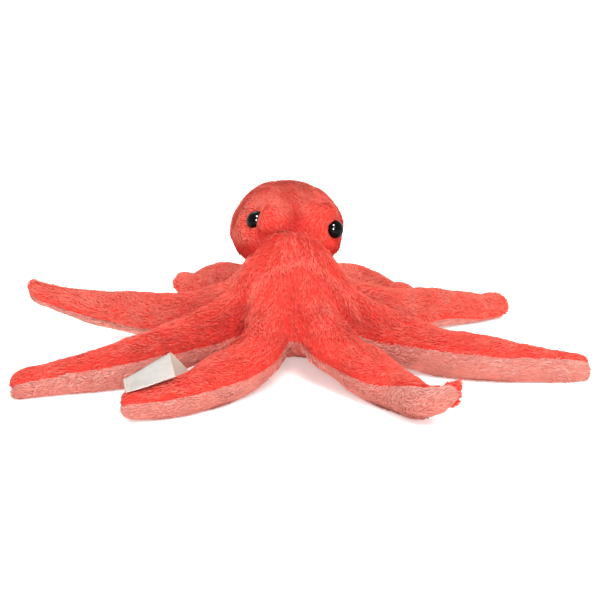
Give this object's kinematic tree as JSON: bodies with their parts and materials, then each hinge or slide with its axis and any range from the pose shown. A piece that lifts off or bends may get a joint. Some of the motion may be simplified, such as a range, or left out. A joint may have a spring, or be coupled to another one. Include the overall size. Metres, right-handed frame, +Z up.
{
  "type": "plush toy octopus",
  "caption": "Soft stuffed octopus toy lying on its spread arms, with an egg-shaped head lying back, bead eyes, brow mounds and a folded fabric tape label on one arm.",
  "frame": {"origin": "middle of the footprint's bounding box, on the surface the toy lies on", "axes": "+Z up; the face looks towards -Y; +X is the toy's own left and runs along its widest spread of arms"},
  "size_m": [0.2954, 0.2478, 0.0893],
  "materials": {
    "plush_top": "short-pile coral plush, brushed and slightly glossy at the pile's tips",
    "plush_underside": "short-pile pale salmon plush",
    "eye_plastic": "polished black",
    "label_tape": "off-white satin tape"
  },
  "bodies": {
    "root": {"trunk": "plush_top", "mantle": "plush_top", "brow_left": "plush_top", "brow_right": "plush_top", "eye_left": "eye_plastic", "eye_right": "eye_plastic", "label": "label_tape", "arm_front_left_root": "plush_top", "arm_front_left_middle": "plush_top", "arm_front_left_tip": "plush_top", "arm_side_left_root": "plush_top", "arm_side_left_middle": "plush_top", "arm_side_left_tip": "plush_top", "arm_rear_left_root": "plush_top", "arm_rear_left_middle": "plush_top", "arm_rear_left_tip": "plush_top", "arm_back_left_root": "plush_top", "arm_back_left_middle": "plush_top", "arm_back_left_tip": "plush_top", "arm_back_right_root": "plush_top", "arm_back_right_middle": "plush_top", "arm_back_right_tip": "plush_top", "arm_rear_right_root": "plush_top", "arm_rear_right_middle": "plush_top", "arm_rear_right_tip": "plush_top", "arm_side_right_root": "plush_top", "arm_side_right_middle": "plush_top", "arm_side_right_tip": "plush_top", "arm_front_right_root": "plush_top", "arm_front_right_middle": "plush_top", "arm_front_right_tip": "plush_top"}
  },
  "joints": []
}
